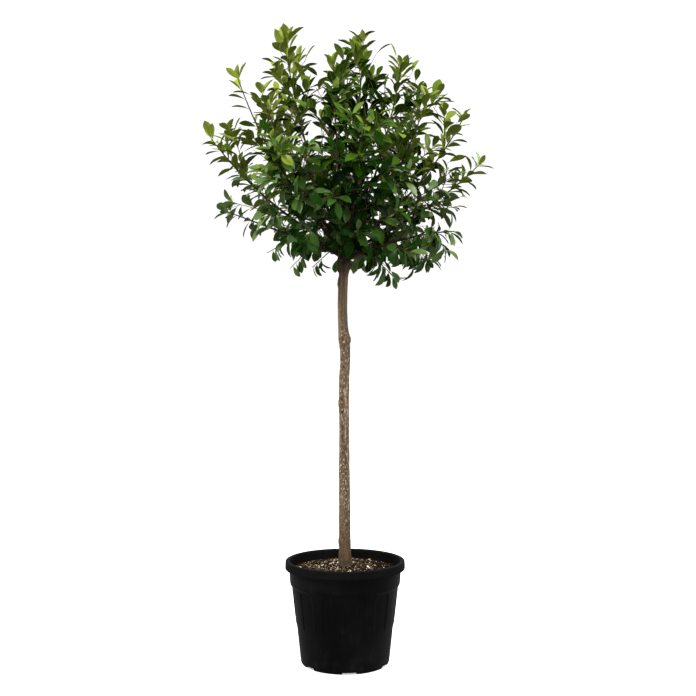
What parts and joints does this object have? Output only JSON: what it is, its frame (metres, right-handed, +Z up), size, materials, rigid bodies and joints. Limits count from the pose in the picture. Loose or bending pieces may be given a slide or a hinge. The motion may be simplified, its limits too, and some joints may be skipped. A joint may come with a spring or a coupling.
{
  "type": "potted ornamental cherry tree",
  "caption": "Standard-trained evergreen ornamental cherry in a round black nursery pot: clear upright stem, graft knuckle and rounded crown of leafy shoots, a patio plant.",
  "frame": {"origin": "centre of the pot's flat underside, on the ground", "axes": "+Z up along the stem, +X to the right and +Y to the back in the pictured view"},
  "size_m": [0.8827, 0.8471, 1.9202],
  "materials": {
    "pot_plastic": "satin",
    "potting_bark": "matte",
    "bark": "matte",
    "foliage": "satin"
  },
  "bodies": {
    "root": {"pot": "pot_plastic", "potting_bark": "potting_bark", "trunk": "bark", "bough_left_leader": "bark", "bough_centre_leader": "bark", "bough_right_leader": "bark", "bough_back_leader": "bark", "bough_front_leader": "bark", "bough_right_upper": "bark", "bough_left_upper": "bark", "bough_left_front_upper": "bark", "bough_right_front_upper": "bark", "bough_back_left_upper": "bark", "bough_back_right_upper": "bark", "bough_right_middle": "bark", "bough_right_far": "bark", "bough_left_far": "bark", "bough_front_middle": "bark", "bough_front_left_middle": "bark", "bough_back_middle": "bark", "bough_right_low": "bark", "bough_left_low": "bark", "bough_front_right_low": "bark", "bough_front_left_low": "bark", "bough_back_left_low": "bark", "bough_back_right_low": "bark", "foliage_left_leader": "foliage", "foliage_centre_leader": "foliage", "foliage_right_leader": "foliage", "foliage_back_leader": "foliage", "foliage_front_leader": "foliage", "foliage_right_upper": "foliage", "foliage_left_upper": "foliage", "foliage_left_front_upper": "foliage", "foliage_right_front_upper": "foliage", "foliage_back_left_upper": "foliage", "foliage_back_right_upper": "foliage", "foliage_right_middle": "foliage", "foliage_right_far": "foliage", "foliage_left_far": "foliage", "foliage_front_middle": "foliage", "foliage_front_left_middle": "foliage", "foliage_back_middle": "foliage", "foliage_right_low": "foliage", "foliage_left_low": "foliage", "foliage_front_right_low": "foliage", "foliage_front_left_low": "foliage", "foliage_back_left_low": "foliage", "foliage_back_right_low": "foliage"}
  },
  "joints": []
}
